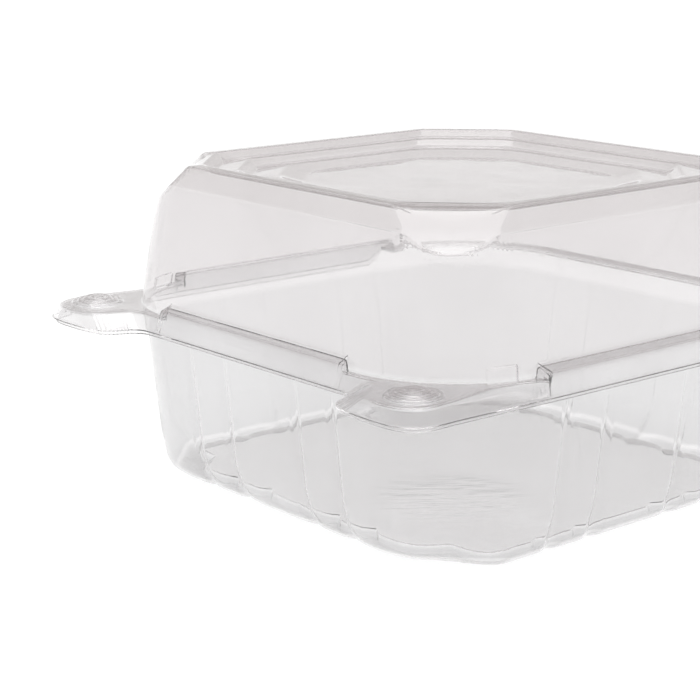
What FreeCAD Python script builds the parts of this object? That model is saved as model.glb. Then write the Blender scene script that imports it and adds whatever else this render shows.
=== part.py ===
import FreeCAD, Part
import Sketcher
import os, math

# Clear hinged clamshell pack, thermoformed from one sheet.  Millimetres, +Z up,
# z = 0 on the surface it stands on.  The opening side with the two press-button
# ears faces -Y, the fold faces +Y.  Everything is drawn about the tray's middle;
# both halves are then moved along Y so that the origin is below the middle of
# the pack's outline, ears and fold included.

os.makedirs("parts", exist_ok=True)
doc = FreeCAD.newDocument("clamshell")

# ---------------------------------------------------------------- dimensions
sheet = doc.addObject("Spreadsheet::Sheet", "Dims")
ROWS = [
    ("skin", 0.40, "thickness of the formed sheet"),
    # lid
    ("lid_top_z", 78.4, "height of the closed pack"),
    ("lid_top_half", 55.0, "half side of the lid's flat top"),
    ("lid_top_rad", 15.5, "corner radius at the top, before the facets"),
    ("band_z", 74.0, "lower edge of the bevel band round the top"),
    ("band_half", 56.8, "half side there"),
    ("band_rad", 16.5, "corner radius there"),
    ("ledge_z", 43.45, "top of the lid's ledge and ears"),
    ("lid_foot_half", 64.3, "half side of the lid wall at the ledge"),
    ("lid_foot_rad", 28.6, "corner radius there"),
    ("facet_leg", 17.9, "leg of the corner chamfer in the top's outline"),
    ("bead_z", 46.3, "top of the raised bead along the sides"),
    ("bead_front", 33.5, "half length of the front bead"),
    ("bead_side_f", 37.0, "side beads reach this far forward"),
    ("bead_side_b", 34.0, "and this far back"),
    ("lip_z", 39.6, "lower lip of the lid's skirt"),
    ("flare", 1.0, "the skirt's outward lean"),
    ("side_x", 68.2, "outline of the ledge, left and right"),
    ("front_y", 66.6, "outline of the ledge, front"),
    ("ear_y", 76.7, "outer end of the ears"),
    ("ear_x", 47.0, "inner side of the ears at the top"),
    ("ear_slant", 6.0, "how far the grip end of an ear slopes out"),
    ("ear_r_out", 10.0, "rounding of the ear's outer corner"),
    ("ear_r_in", 6.3, "rounding of the ear's inner corner"),
    ("ear_r_cove", 3.4, "cove between ear and front"),
    ("back_y", 70.0, "fold line at the back"),
    ("back_rad", 30.0, "rounding of the rear corners of the ledge"),
    ("skirt_end", 36.0, "the skirt ends here, before the rear corners"),
    ("rim_half", 50.0, "first step of the sunken top"),
    ("rim_depth", 1.6, "its depth"),
    ("rim_leg", 17.0, "corner leg of that step"),
    ("panel_half", 36.0, "second step of the sunken top"),
    ("panel_depth", 2.8, "its further depth"),
    ("panel_leg", 17.0, "corner leg of that step"),
    ("knob_x", 59.0, "press button centre"),
    ("knob_y", 67.2, "press button centre"),
    ("knob_r", 6.8, "press button radius"),
    ("knob_high", 1.6, "press button height"),
    ("lug_w", 6.2, "width of the stacking lug"),
    ("lug_high", 4.3, "height of the stacking lug above the ledge"),
    # play between the halves
    ("gap_z", 0.15, "between lid ledge and tray ledge"),
    ("gap_side", 0.35, "between the two skirts"),
    ("gap_fold", 0.08, "half the fold gap"),
    # tray
    ("wall_half", 64.2, "half side of the tray at its mouth"),
    ("wall_rad", 29.7, "corner radius there"),
    ("knee_z", 6.5, "where the wall turns under"),
    ("knee_half", 60.1, "half side there"),
    ("turn_z", 1.9, "halfway round the turn"),
    ("turn_half", 58.2, "half side there"),
    ("turn_leg", 15.2, "corner leg there"),
    ("foot_half", 54.6, "half side of the foot"),
    ("foot_leg", 13.5, "corner chamfer leg of the foot"),
    ("tray_lip_z", 38.6, "lower lip of the tray's skirt"),
    ("floor_half", 47.5, "raised floor panel"),
    ("floor_leg", 17.0, "its corner leg"),
    ("floor_rise", 2.0, "how far the floor is raised"),
    ("flute_a", 13.2, "inner flutes, from the wall's middle"),
    ("flute_b", 26.4, "outer flutes, from the wall's middle"),
    ("flute_r", 1.2, "flute radius"),
]
VAL = {}
for i, (alias, value, note) in enumerate(ROWS, 1):
    sheet.set("A%d" % i, alias)
    sheet.set("B%d" % i, repr(value))
    sheet.set("C%d" % i, note)
    sheet.setAlias("B%d" % i, alias)
    VAL[alias] = value
doc.recompute()


class Q:
    """A length with its value now and the sheet expression that drives it."""

    def __init__(self, v, e):
        self.v, self.e = float(v), e

    def __add__(self, o):
        o = num(o)
        return Q(self.v + o.v, "(%s + %s)" % (self.e, o.e))

    def __sub__(self, o):
        o = num(o)
        return Q(self.v - o.v, "(%s - %s)" % (self.e, o.e))

    def __mul__(self, k):
        return Q(self.v * k, "(%s * %s)" % (self.e, repr(float(k))))

    def __neg__(self):
        return Q(-self.v, "(0 - %s)" % self.e)


def num(o):
    return o if isinstance(o, Q) else Q(o, "(%s)" % repr(float(o)))


def d(name):
    return Q(VAL[name], "Dims." + name)


SKIN = d("skin")
CORNERS = [(1, 1), (-1, 1), (-1, -1), (1, -1)]
ZERO = num(0)


def outline(name, z, corners):
    """A closed sketch at height z.  corners: (x, y, r); r None leaves the corner
    sharp, and a rounded corner joins two runs that follow X and Y."""
    sk = doc.addObject("Sketcher::SketchObject", name)
    n = len(corners)
    pts = []  # (incoming point, outgoing point) of each corner, as Q pairs
    for i, (x, y, r) in enumerate(corners):
        if r is None:
            pts.append(((x, y), (x, y)))
            continue
        px, py, _ = corners[i - 1]
        qx, qy, _ = corners[(i + 1) % n]

        def step(ox, oy):
            dx, dy = ox.v - x.v, oy.v - y.v
            if abs(dx) > abs(dy):
                return (x + r, y) if dx > 0 else (x - r, y)
            return (x, y + r) if dy > 0 else (x, y - r)

        pts.append((step(px, py), step(qx, qy)))
    V = lambda p: FreeCAD.Vector(p[0].v, p[1].v, 0)
    lines, arcs = [], []
    for i in range(n):
        a, b = pts[i][1], pts[(i + 1) % n][0]
        lines.append(sk.addGeometry(Part.LineSegment(V(a), V(b)), False))
    for i in range(n):
        if corners[i][2] is None:
            continue
        a, b = V(pts[i][0]), V(pts[i][1])
        c = V((corners[i][0], corners[i][1]))
        mid = (a + b) * 0.5
        r = corners[i][2].v
        centre = c + (mid - c) * 2.0
        on = centre + FreeCAD.Vector(c - centre).normalize() * r
        # sketch arcs run counterclockwise, so a cove's arc is drawn from its far end
        ccw = (a - centre).cross(b - centre).z > 0
        arc = Part.ArcOfCircle(a, on, b) if ccw else Part.ArcOfCircle(b, on, a)
        arcs.append((i, sk.addGeometry(arc, False)))

    def pin(geo, point, p):
        for kind, q in (("DistanceX", p[0]), ("DistanceY", p[1])):
            if abs(q.v) < 1e-9:
                continue
            k = sk.addConstraint(Sketcher.Constraint(kind, -1, 1, geo, point, q.v))
            sk.setExpression("Constraints[%d]" % k, q.e)

    for i in range(n):
        pin(lines[i], 1, pts[i][1])
        if corners[(i + 1) % n][2] is not None:
            pin(lines[i], 2, pts[(i + 1) % n][0])
        else:
            sk.addConstraint(Sketcher.Constraint("Coincident", lines[i], 2, lines[(i + 1) % n], 1))
    for i, g in arcs:
        geo = sk.Geometry[g]
        first = V(pts[i][0])
        start = geo.StartPoint
        if (start - first).Length < 1e-6:
            ends = (1, 2)
        else:
            ends = (2, 1)
        sk.addConstraint(Sketcher.Constraint("Coincident", g, ends[0], lines[i - 1], 2))
        sk.addConstraint(Sketcher.Constraint("Coincident", g, ends[1], lines[i], 1))
        k = sk.addConstraint(Sketcher.Constraint("Radius", g, corners[i][2].v))
        sk.setExpression("Constraints[%d]" % k, corners[i][2].e)
    sk.Placement = FreeCAD.Placement(FreeCAD.Vector(0, 0, z.v), FreeCAD.Rotation())
    sk.setExpression("Placement.Base.z", z.e)
    return sk


def square(name, z, half, rad):
    h, m = half, -half
    return outline(name, z, [(h, h, rad), (m, h, rad), (m, m, rad), (h, m, rad)])


def octagon(name, z, half, leg):
    h, m = half, -half
    i, j = half - leg, -(half - leg)
    return outline(name, z, [
        (h, i, None), (i, h, None), (j, h, None), (m, i, None),
        (m, j, None), (j, m, None), (i, m, None), (h, j, None)])


def ledge(name, z, off, slant):
    """Plan outline of the ledge with its two ears, moved out by off.  slant is
    how far the ears' inner ends are moved out."""
    x, yf, ye = d("side_x") + off, -(d("front_y") + off), -(d("ear_y") + off)
    yb, rb = d("back_y"), d("back_rad")
    xi = d("ear_x") - slant
    ro, ri, cove = d("ear_r_out") + off, d("ear_r_in") + off, d("ear_r_cove") - off
    return outline(name, z, [
        (x, yb, rb), (-x, yb, rb),
        (-x, ye, ro), (-xi, ye, ri), (-xi, yf, cove),
        (xi, yf, cove), (xi, ye, ri), (x, ye, ro)])


def loft(name, *sections):
    o = doc.addObject("Part::Loft", name)
    o.Sections = list(sections)
    o.Solid = True
    o.Ruled = True
    for s in sections:
        s.Visibility = False
    return o


def extrude(name, sk, length):
    o = doc.addObject("Part::Extrusion", name)
    o.Base = sk
    o.DirMode = "Custom"
    o.Dir = FreeCAD.Vector(0, 0, 1)
    o.Solid = True
    o.LengthFwd = length.v
    o.setExpression("LengthFwd", length.e)
    return o


def box(name, x0, x1, y0, y1, z0, z1):
    o = doc.addObject("Part::Box", name)
    for prop, q in (("Length", x1 - x0), ("Width", y1 - y0), ("Height", z1 - z0)):
        setattr(o, prop, q.v)
        o.setExpression(prop, q.e)
    o.Placement.Base = FreeCAD.Vector(x0.v, y0.v, z0.v)
    for axis, q in (("x", x0), ("y", y0), ("z", z0)):
        o.setExpression("Placement.Base." + axis, q.e)
    return o


def wedge(name, x0, y0, x1, y1, z0, z1):
    """A block that goes from half sides x0, y0 at z0 to x1, y1 at z1."""
    o = doc.addObject("Part::Wedge", name)
    for prop, q in (("Xmin", -x0), ("Xmax", x0), ("Zmin", -y0), ("Zmax", y0),
                    ("X2min", -x1), ("X2max", x1), ("Z2min", -y1), ("Z2max", y1),
                    ("Ymin", ZERO), ("Ymax", z1 - z0)):
        setattr(o, prop, q.v)
        o.setExpression(prop, q.e)
    o.Placement = FreeCAD.Placement(FreeCAD.Vector(0, 0, z0.v), FreeCAD.Rotation(FreeCAD.Vector(1, 0, 0), 90))
    o.setExpression("Placement.Base.z", z0.e)
    return o


def frustum(name, z0, half0, z1, half1, core):
    """A leaning-sided square with round corners: two blocks and four cones whose
    axes stand at the corners of the core square."""
    parts = [wedge(name + "_x", half0, core, half1, core, z0, z1),
             wedge(name + "_y", core, half0, core, half1, z0, z1)]
    for i, (sx, sy) in enumerate(CORNERS):
        parts.append(cone("%s_c%d" % (name, i), core * sx, core * sy, z0, half0 - core, half1 - core, z1 - z0))
    return parts


def cone(name, x, y, z, r1, r2, high):
    o = doc.addObject("Part::Cone", name)
    for prop, q in (("Radius1", r1), ("Radius2", r2), ("Height", high)):
        setattr(o, prop, q.v)
        o.setExpression(prop, q.e)
    o.Placement.Base = FreeCAD.Vector(x.v, y.v, z.v)
    for axis, q in (("x", x), ("y", y), ("z", z)):
        o.setExpression("Placement.Base." + axis, q.e)
    return o


def fuse(name, *shapes):
    o = doc.addObject("Part::MultiFuse", name)
    o.Shapes = list(shapes)
    return o


def cut(name, base, tool):
    o = doc.addObject("Part::Cut", name)
    o.Base, o.Tool = base, tool
    return o


def facet(name, sx, sy, inset):
    """A block whose inner face is the 45 degree corner facet that passes through
    the chamfer of the top outline, moved in by inset."""
    o = doc.addObject("Part::Box", name)
    o.Length, o.Width, o.Height = 60, 60, 60
    turn = FreeCAD.Rotation(FreeCAD.Vector(0, 0, 1), 45 if sx * sy > 0 else -45)
    if sx < 0 and sy < 0:
        turn = FreeCAD.Rotation(FreeCAD.Vector(0, 0, 1), 225)
    if sx < 0 and sy > 0:
        turn = FreeCAD.Rotation(FreeCAD.Vector(0, 0, 1), 135)
    # local X points out of the corner; lean it up by 45 degrees
    rot = turn.multiply(FreeCAD.Rotation(FreeCAD.Vector(0, 1, 0), -45))
    # the block's face x = 0 holds the point on the chamfer's middle
    reach = math.cos(math.radians(45)) * 2.0
    c = d("lid_top_half") - d("facet_leg") * 0.5
    push = inset * math.sqrt(0.5)          # the face moves in by inset
    h = push * math.sqrt(0.5)              # split over x and y
    px, py, pz = (c - h) * sx, (c - h) * sy, d("lid_top_z") - push
    # centre the block sideways on the facet
    side = rot.multVec(FreeCAD.Vector(0, -30, -30))
    px, py, pz = px + side.x, py + side.y, pz + side.z
    o.Placement = FreeCAD.Placement(FreeCAD.Vector(px.v, py.v, pz.v), rot)
    for axis, q in (("x", px), ("y", py), ("z", pz)):
        o.setExpression("Placement.Base." + axis, q.e)
    return o


def lid_body(tag, inset):
    """The lid's dome: four walls, bevel band, corner facets and sunken top, all
    moved in by inset."""
    foot = d("ledge_z") - inset
    s0 = square(tag + "_foot", foot, d("lid_foot_half") - inset, d("lid_foot_rad") - inset)
    s1 = square(tag + "_band", d("band_z"), d("band_half") - inset, d("band_rad") - inset)
    s2 = square(tag + "_top", d("lid_top_z") - inset, d("lid_top_half") - inset, d("lid_top_rad") - inset)
    dome = loft(tag + "_dome", s0, s1, s2)
    blocks = [facet("%s_facet%d" % (tag, i), sx, sy, inset) for i, (sx, sy) in enumerate(CORNERS)]
    # the sunken top grows by the same inset on the inner surface
    r0 = octagon(tag + "_rim", d("lid_top_z") - d("rim_depth") - inset, d("rim_half") + inset, d("rim_leg"))
    r1 = octagon(tag + "_panel", d("lid_top_z") - d("rim_depth") - d("panel_depth") - inset,
                 d("panel_half") + inset, d("panel_leg"))
    rim = extrude(tag + "_rim_well", r0, num(6))
    well = extrude(tag + "_panel_well", r1, num(6))
    return cut(tag + "_solid", dome, fuse(tag + "_cuts", *(blocks + [rim, well])))


def beads(tag, inset, play, top, low, inner):
    """The raised beads along front, left and right.  play is how far this half
    lies inside the lid's outline, inner is where the bead meets the wall."""
    x1, y1 = d("side_x") - inset - play, d("front_y") - inset - play
    f, sf, sb = [d(n) - inset - play for n in ("bead_front", "bead_side_f", "bead_side_b")]
    return [
        box(tag + "_front", -f, f, -y1, -inner, low, top),
        box(tag + "_right", inner, x1, -sf, sb, low, top),
        box(tag + "_left", -x1, -inner, -sf, sb, low, top),
    ]


def knobs(tag, inset, play, base):
    """Press buttons on the ears: a drum with sloping side and a smaller crown."""
    out = []
    r = d("knob_r") - inset - play
    for side, sx in (("r", 1), ("l", -1)):
        x, y = d("knob_x") * sx, -d("knob_y")
        # the drum starts below its ledge so that both surfaces pierce it
        out.append(cone("%s_drum_%s" % (tag, side), x, y, base - 0.6, r, r - 1.1, d("knob_high") + 0.6 - 0.5))
        out.append(cone("%s_crown_%s" % (tag, side), x, y, base - 0.6, r - 2.2, r - 3.0, d("knob_high") + 0.6))
    return out


def lugs(tag, inset):
    """Small stacking lugs that stand on the ledge against the lid's wall."""
    out = []
    for side, sx in (("r", 1), ("l", -1)):
        o = doc.addObject("Part::Box", "%s_%s" % (tag, side))
        w, deep, high = d("lug_w") - inset * 2, num(6) - inset, d("lug_high") + 0.4
        for prop, q in (("Length", deep), ("Width", w), ("Height", high)):
            setattr(o, prop, q.v)
            o.setExpression(prop, q.e)
        ang = -22.0 if sx > 0 else 202.0
        rot = FreeCAD.Rotation(FreeCAD.Vector(0, 0, 1), ang)
        off = rot.multVec(FreeCAD.Vector(-4.6, -(w.v / 2), 0))
        px, py, pz = num(62.9 * sx + off.x), num(-46.75 + off.y), d("ledge_z") - inset - 0.4
        o.Placement = FreeCAD.Placement(FreeCAD.Vector(px.v, py.v, pz.v), rot)
        for axis, q in (("x", px), ("y", py), ("z", pz)):
            o.setExpression("Placement.Base." + axis, q.e)
        out.append(o)
    return out


# ------------------------------------------------------------------- the lid
lz, lip, flare = d("ledge_z"), d("lip_z"), d("flare")
out_top = ledge("lid_ledge_top", lz, ZERO, ZERO)
out_lip = ledge("lid_ledge_lip", lip, flare, d("ear_slant"))
in_top = ledge("lid_under_top", lz - SKIN, ZERO - SKIN, ZERO - SKIN)
in_lip = ledge("lid_under_lip", lip - 0.01, flare - SKIN, d("ear_slant") - SKIN)
lid_out = fuse("lid_outer",
               lid_body("lid_o", ZERO),
               loft("lid_skirt_o", out_lip, out_top),
               *(beads("lid_bead_o", ZERO, ZERO, d("bead_z"), lz - 1.0, num(60))
                 + knobs("lid_knob_o", ZERO, ZERO, lz)
                 + lugs("lid_lug_o", ZERO)))
lid_in = fuse("lid_inner",
              lid_body("lid_i", SKIN),
              loft("lid_skirt_i", in_lip, in_top),
              box("lid_back_clear", num(-90), num(90), d("skirt_end"), num(90), lip - 1, lz - SKIN),
              *(beads("lid_bead_i", SKIN, ZERO, d("bead_z") - SKIN, lz - 1.5, num(60))
                + knobs("lid_knob_i", SKIN, ZERO, lz - SKIN)
                + lugs("lid_lug_i", SKIN)))
lid = cut("lid", lid_out, lid_in)
lid.Label = "lid"

# ------------------------------------------------------------------ the tray
PLAY = SKIN + d("gap_side")
tz = lz - SKIN - d("gap_z")               # top of the tray's ledge
tlip = d("tray_lip_z")


def flutes(tag, radius):
    """Shallow upright flutes in the four walls, deepest at the knee."""
    out = []
    low_h, high_h = d("knee_half") + 0.5, d("wall_half") + 0.8
    z0, z1 = d("knee_z"), num(40.0)
    length = math.hypot(high_h.v - low_h.v, z1.v - z0.v) + 1.0
    lean = math.degrees(math.atan2(high_h.v - low_h.v, z1.v - z0.v))
    k = 0
    for quarter in range(4):
        for a in ("flute_a", "flute_b"):
            for s in (1, -1):
                at = d(a) * s
                turn = FreeCAD.Rotation(FreeCAD.Vector(0, 0, 1), 90.0 * quarter)
                for half, z, tilt, run in [(low_h, z0 + 0.3, lean, length)]:
                    o = doc.addObject("Part::Cylinder", "%s_%d" % (tag, k))
                    k += 1
                    o.Radius = radius.v
                    o.setExpression("Radius", radius.e)
                    o.Height = run
                    p = turn.multVec(FreeCAD.Vector(half.v, at.v, z.v))
                    o.Placement = FreeCAD.Placement(p, turn.multiply(FreeCAD.Rotation(FreeCAD.Vector(0, 1, 0), tilt)))
                    c, n = round(math.cos(math.pi / 2 * quarter)), round(math.sin(math.pi / 2 * quarter))
                    ex = half * c - at * n
                    ey = half * n + at * c
                    for axis, q in (("x", ex), ("y", ey), ("z", z)):
                        o.setExpression("Placement.Base." + axis, q.e)
                    out.append(o)
    return out


def tray_body(tag, inset, top):
    """The tray's walls, turn and foot as a solid, moved in by inset."""
    t0 = octagon(tag + "_foot", inset + 0.0, d("foot_half") - inset, d("foot_leg"))
    t1 = octagon(tag + "_turn", d("turn_z"), d("turn_half") - inset, d("turn_leg"))
    core = d("wall_half") - d("wall_rad")
    t2 = square(tag + "_knee", d("knee_z"), d("knee_half") - inset, d("knee_half") - core - inset)
    foot = loft(tag + "_base", t0, t1)
    turn = loft(tag + "_turn_up", t1, t2)
    wall = frustum(tag + "_wall", d("knee_z"), d("knee_half") - inset, top, d("wall_half") - inset, core)
    f0 = octagon(tag + "_floor", num(-1.0) + inset, d("floor_half") + inset, d("floor_leg"))
    floor = extrude(tag + "_floor_well", f0, d("floor_rise") + 1.0)
    cuts = fuse(tag + "_cuts", floor, *flutes(tag + "_flute", d("flute_r") + inset))
    return cut(tag + "_solid", fuse(tag + "_sum", foot, turn, *wall), cuts)


t_out_top = ledge("tray_ledge_top", tz, ZERO - PLAY, ZERO - PLAY)
t_out_lip = ledge("tray_ledge_lip", tlip, flare - PLAY, d("ear_slant") - PLAY)
t_in_top = ledge("tray_under_top", tz - SKIN, ZERO - PLAY - SKIN, ZERO - PLAY - SKIN)
t_in_lip = ledge("tray_under_lip", tlip - 0.01, flare - PLAY - SKIN, d("ear_slant") - PLAY - SKIN)

bead_top = d("bead_z") - SKIN - d("gap_z")
wall_in = d("wall_half") - SKIN
tray_o = tray_body("tray_o", ZERO, tz)
tray_over = fuse("tray_over",
                 loft("tray_skirt_o", t_out_lip, t_out_top),
                 *(beads("tray_bead_o", ZERO, PLAY, bead_top, tz - 1.0, wall_in)
                   + knobs("tray_knob_o", ZERO, PLAY, tz)))
tray_in = tray_body("tray_i", SKIN, tz + 0.01)
tray_under = fuse("tray_under",
                  loft("tray_skirt_i", t_in_lip, t_in_top),
                  box("tray_back_clear", num(-90), num(90), d("skirt_end"), num(90), tlip - 1, tz - SKIN),
                  *(beads("tray_bead_i", SKIN, PLAY, bead_top - SKIN, tz - 1.5, d("wall_half"))
                    + knobs("tray_knob_i", SKIN, PLAY, tz - SKIN)))
# ledge, beads and skirt as one formed sheet, then the walls with their flutes
tray_ledge = cut("tray_ledge", cut("tray_ledge_sheet", tray_over, tray_under), tray_in)
tray_walls = cut("tray_walls", tray_o, tray_in)
tray = fuse("base_tray", tray_walls, tray_ledge)
tray.Label = "base_tray"

# from the tray's middle to the middle of the whole outline
shift = (d("ear_y") + flare - d("back_y")) * 0.5
for half in (lid, tray):
    half.Placement.Base = FreeCAD.Vector(0, shift.v, 0)
    half.setExpression("Placement.Base.y", shift.e)

doc.recompute()

# ------------------------------------------------------------------- checks
bad = [o.Name for o in doc.Objects if "Invalid" in o.State or "Error" in o.State]
for o in doc.Objects:
    if hasattr(o, "Shape") and not o.Shape.isNull() and not o.Shape.isValid():
        print("not valid:", o.Name)
if bad:
    raise SystemExit("failed objects: %s" % bad)
NODES = [lid, tray]
for o in NODES:
    s = o.Shape
    if s.isNull() or not s.isValid():
        raise SystemExit("bad shape: %s" % o.Label)
    b = s.BoundBox
    print("%-12s solids %d  volume %.0f mm3  x %.2f..%.2f y %.2f..%.2f z %.2f..%.2f" % (
        o.Label, len(s.Solids), s.Volume, b.XMin, b.XMax, b.YMin, b.YMax, b.ZMin, b.ZMax))
for o in NODES:
    if len(o.Shape.Solids) != 1:
        print("WARNING more than one solid in", o.Label, [round(x.Volume, 2) for x in o.Shape.Solids])
for o in NODES:
    o.Shape.exportStep(os.path.join("parts", o.Label + ".step"))
print("written", sorted(os.listdir("parts")))
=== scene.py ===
import math

import bpy
import numpy as np
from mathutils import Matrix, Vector
from mathutils.geometry import delaunay_2d_cdt


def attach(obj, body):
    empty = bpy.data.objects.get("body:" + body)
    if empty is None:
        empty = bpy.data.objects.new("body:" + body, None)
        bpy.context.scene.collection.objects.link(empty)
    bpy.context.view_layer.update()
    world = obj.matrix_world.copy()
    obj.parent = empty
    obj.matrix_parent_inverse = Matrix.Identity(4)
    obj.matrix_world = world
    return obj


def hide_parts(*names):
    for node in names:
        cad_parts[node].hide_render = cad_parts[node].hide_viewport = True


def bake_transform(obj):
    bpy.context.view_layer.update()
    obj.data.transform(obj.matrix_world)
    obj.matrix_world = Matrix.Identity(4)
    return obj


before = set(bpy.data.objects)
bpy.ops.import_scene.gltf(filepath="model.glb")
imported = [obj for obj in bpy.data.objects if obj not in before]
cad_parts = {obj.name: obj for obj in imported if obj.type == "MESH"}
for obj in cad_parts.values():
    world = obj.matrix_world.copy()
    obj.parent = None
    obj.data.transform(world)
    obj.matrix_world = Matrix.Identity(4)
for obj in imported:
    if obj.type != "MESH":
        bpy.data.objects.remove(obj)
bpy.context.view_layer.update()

# Clear hinged clamshell pack, thermoformed from one sheet.  The meshes are worked
# out in millimetres about the tray's middle; solid() brings them into the frame.
# Each half is one sheet: rings of points run from its outer lip inwards, over the
# ledge, along the wall and to the middle, and the sheet then gets its thickness.
SHIFT_Y = 3.85
SKIN = 0.32
LEDGE = 43.45 - SKIN / 2          # middle of the lid's sheet on the ledge
DROP = 0.57                       # the tray's ledge lies this much lower
PLAY = 0.76                       # and its skirt this much further in
AF, AS0, AS1 = 35.0, -39.0, 36.0  # how far the straight side zones reach


# ------------------------------------------------------------------ small maths
def unit(a):
    return a / np.maximum(np.linalg.norm(a, axis=-1, keepdims=True), 1e-12)


def step(e0, e1, x):
    t = np.clip((np.asarray(x, float) - e0) / (e1 - e0), 0, 1)
    return t * t * (3 - 2 * t)


def catmull(ctrl, u):
    p = np.asarray(ctrl, float)
    q = np.vstack([2 * p[0] - p[1], p, 2 * p[-1] - p[-2]])
    u = np.asarray(u, float)
    i = np.clip(u.astype(int), 0, len(p) - 2)
    s = (u - i)[:, None]
    a, b, c, d = q[i], q[i + 1], q[i + 2], q[i + 3]
    return 0.5 * (2 * b + (c - a) * s + (2 * a - 5 * b + 4 * c - d) * s ** 2
                  + (3 * b - a - 3 * c + d) * s ** 3)


def outward(ring):
    """Plan normals of a closed ring that runs counterclockwise."""
    t = np.roll(ring[:, :2], -1, 0) - np.roll(ring[:, :2], 1, 0)
    t = unit(t)
    return np.stack([t[:, 1], -t[:, 0]], 1)


def rrect(hx, yf, yb, rf, rb=None, n=24):
    """Counterclockwise outline, denser on the arcs: half width hx, front -yf, back yb."""
    rb = rf if rb is None else rb
    pts = []
    for cx, cy, r, a0 in ((hx - rf, -yf + rf, rf, -90), (hx - rb, yb - rb, rb, 0),
                          (-hx + rb, yb - rb, rb, 90), (-hx + rf, -yf + rf, rf, 180)):
        for k in range(n + 1):
            a = math.radians(a0 + 90 * k / n)
            pts.append((cx + r * math.cos(a), cy + r * math.sin(a)))
    return dense(np.array(pts))


def octagon(hx, hy, leg, soft):
    """Counterclockwise octagon whose corners are rounded over the length soft."""
    v = [(hx - leg, -hy), (hx, -hy + leg), (hx, hy - leg), (hx - leg, hy),
         (-hx + leg, hy), (-hx, hy - leg), (-hx, -hy + leg), (-hx + leg, -hy)]
    v = np.array(v, float)
    pts = []
    for i in range(8):
        p, c, q = v[i - 1], v[i], v[(i + 1) % 8]
        a, b = c + unit(p - c) * soft, c + unit(q - c) * soft
        for k in range(9):
            s = k / 8
            pts.append((1 - s) ** 2 * a + 2 * s * (1 - s) * c + s * s * b)
    return dense(np.array(pts))


def dense(p, gap=0.5):
    out = []
    for i in range(len(p)):
        a, b = p[i], p[(i + 1) % len(p)]
        m = max(1, int(np.linalg.norm(b - a) / gap))
        out += [a + (b - a) * k / m for k in range(m)]
    return np.array(out)


# --------------------------------------------------------------------- columns
def side_stations(lo, hi, gap, fine):
    """Stations along a side: a plain spacing, and closer ones round each place in
    fine, given as (place, reach, gap)."""
    t = list(np.linspace(lo, hi, int(round((hi - lo) / gap)) + 1))
    for place, reach, g in fine:
        m = int(round(reach / g))
        add = [place + k * g for k in range(-m, m + 1)]
        t = [x for x in t if abs(x - place) > reach + g * 0.6 or x in (lo, hi)]
        t += [x for x in add if lo + g * 0.5 < x < hi - g * 0.5]
    t = sorted(t)
    keep = [t[0]]
    for x in t[1:]:
        if x - keep[-1] > 0.08:
            keep.append(x)
    keep[-1] = hi
    return np.array(keep)


def corner_stations(n, fine=None):
    s = list(np.linspace(0, 1, n + 2)[1:-1])
    if fine:
        c, reach, m = fine
        s = [x for x in s if abs(x - c) > reach] + list(np.linspace(c - reach, c + reach, m))
    return np.array(sorted(s))


class Columns:
    """The stations all round, counterclockwise: front, corner F, right, corner R,
    back, corner B, left, corner L."""

    def __init__(self, front, right, back, left, cf, cr, cb, cl):
        self.zones, self.at, k = [], {}, 0
        for name, vals in (("front", front), ("F", cf), ("right", right), ("R", cr),
                           ("back", back), ("B", cb), ("left", left), ("L", cl)):
            self.zones.append((name, np.asarray(vals, float)))
            self.at[name] = (k, k + len(vals))
            k += len(vals)
        self.n = k
        self.name = sum([[z] * len(v) for z, v in self.zones], [])
        self.val = np.concatenate([v for _, v in self.zones])

    def idx(self, name):
        a, b = self.at[name]
        return list(range(a, b))

    def around(self, name):
        """A corner's columns with the last of the side before and the first after."""
        a, b = self.at[name]
        return [(a - 1) % self.n] + list(range(a, b)) + [b % self.n]

    def ring(self, curve):
        """Points of the outline curve at the stations, as plan coordinates."""
        out = np.zeros((self.n, 2))
        c = np.asarray(curve)
        for name, axis, other, sign in (("front", 0, 1, -1), ("right", 1, 0, 1),
                                        ("back", 0, 1, 1), ("left", 1, 0, -1)):
            near = c[(c[:, other] * sign > 0) & (np.abs(c[:, axis]) <= np.abs(c[:, other]) + 1.0)]
            near = near[np.argsort(near[:, axis])]
            a, b = self.at[name]
            t = self.val[a:b]
            out[a:b, axis] = t
            out[a:b, other] = np.interp(t, near[:, axis], near[:, other])
        ang = np.arctan2(c[:, 1], c[:, 0])
        rad = np.hypot(c[:, 0], c[:, 1])
        o = np.argsort(ang)
        ang, rad = ang[o], rad[o]
        ang = np.concatenate([ang - 2 * np.pi, ang, ang + 2 * np.pi])
        rad = np.tile(rad, 3)
        for name in "FRBL":
            a, b = self.at[name]
            p, q = out[(a - 1) % self.n], out[b % self.n]
            a0, a1 = math.atan2(p[1], p[0]), math.atan2(q[1], q[0])
            if a1 < a0:
                a1 += 2 * math.pi
            th = a0 + self.val[a:b] * (a1 - a0)
            r = np.interp(th, ang, rad)
            out[a:b] = np.stack([r * np.cos(th), r * np.sin(th)], 1)
        return out


def by_ray(curve, guide):
    """Points of the outline curve in the directions of the guide's points."""
    c = np.asarray(curve)
    ang, rad = np.arctan2(c[:, 1], c[:, 0]), np.hypot(c[:, 0], c[:, 1])
    o = np.argsort(ang)
    ang = np.concatenate([ang[o] - 2 * np.pi, ang[o], ang[o] + 2 * np.pi])
    rad = np.tile(rad[o], 3)
    th = np.arctan2(guide[:, 1], guide[:, 0])
    r = np.interp(th, ang, rad)
    return np.stack([r * np.cos(th), r * np.sin(th)], 1)


def nearest(p, q):
    """How far each point of p is from the ring q, in plan."""
    q = dense(np.asarray(q)[:, :2], 0.4)
    return np.array([np.min(np.hypot(q[:, 0] - x, q[:, 1] - y)) for x, y in np.asarray(p)[:, :2]])


def at_z(plan, z):
    return np.column_stack([plan, np.broadcast_to(z, len(plan))])


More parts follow.
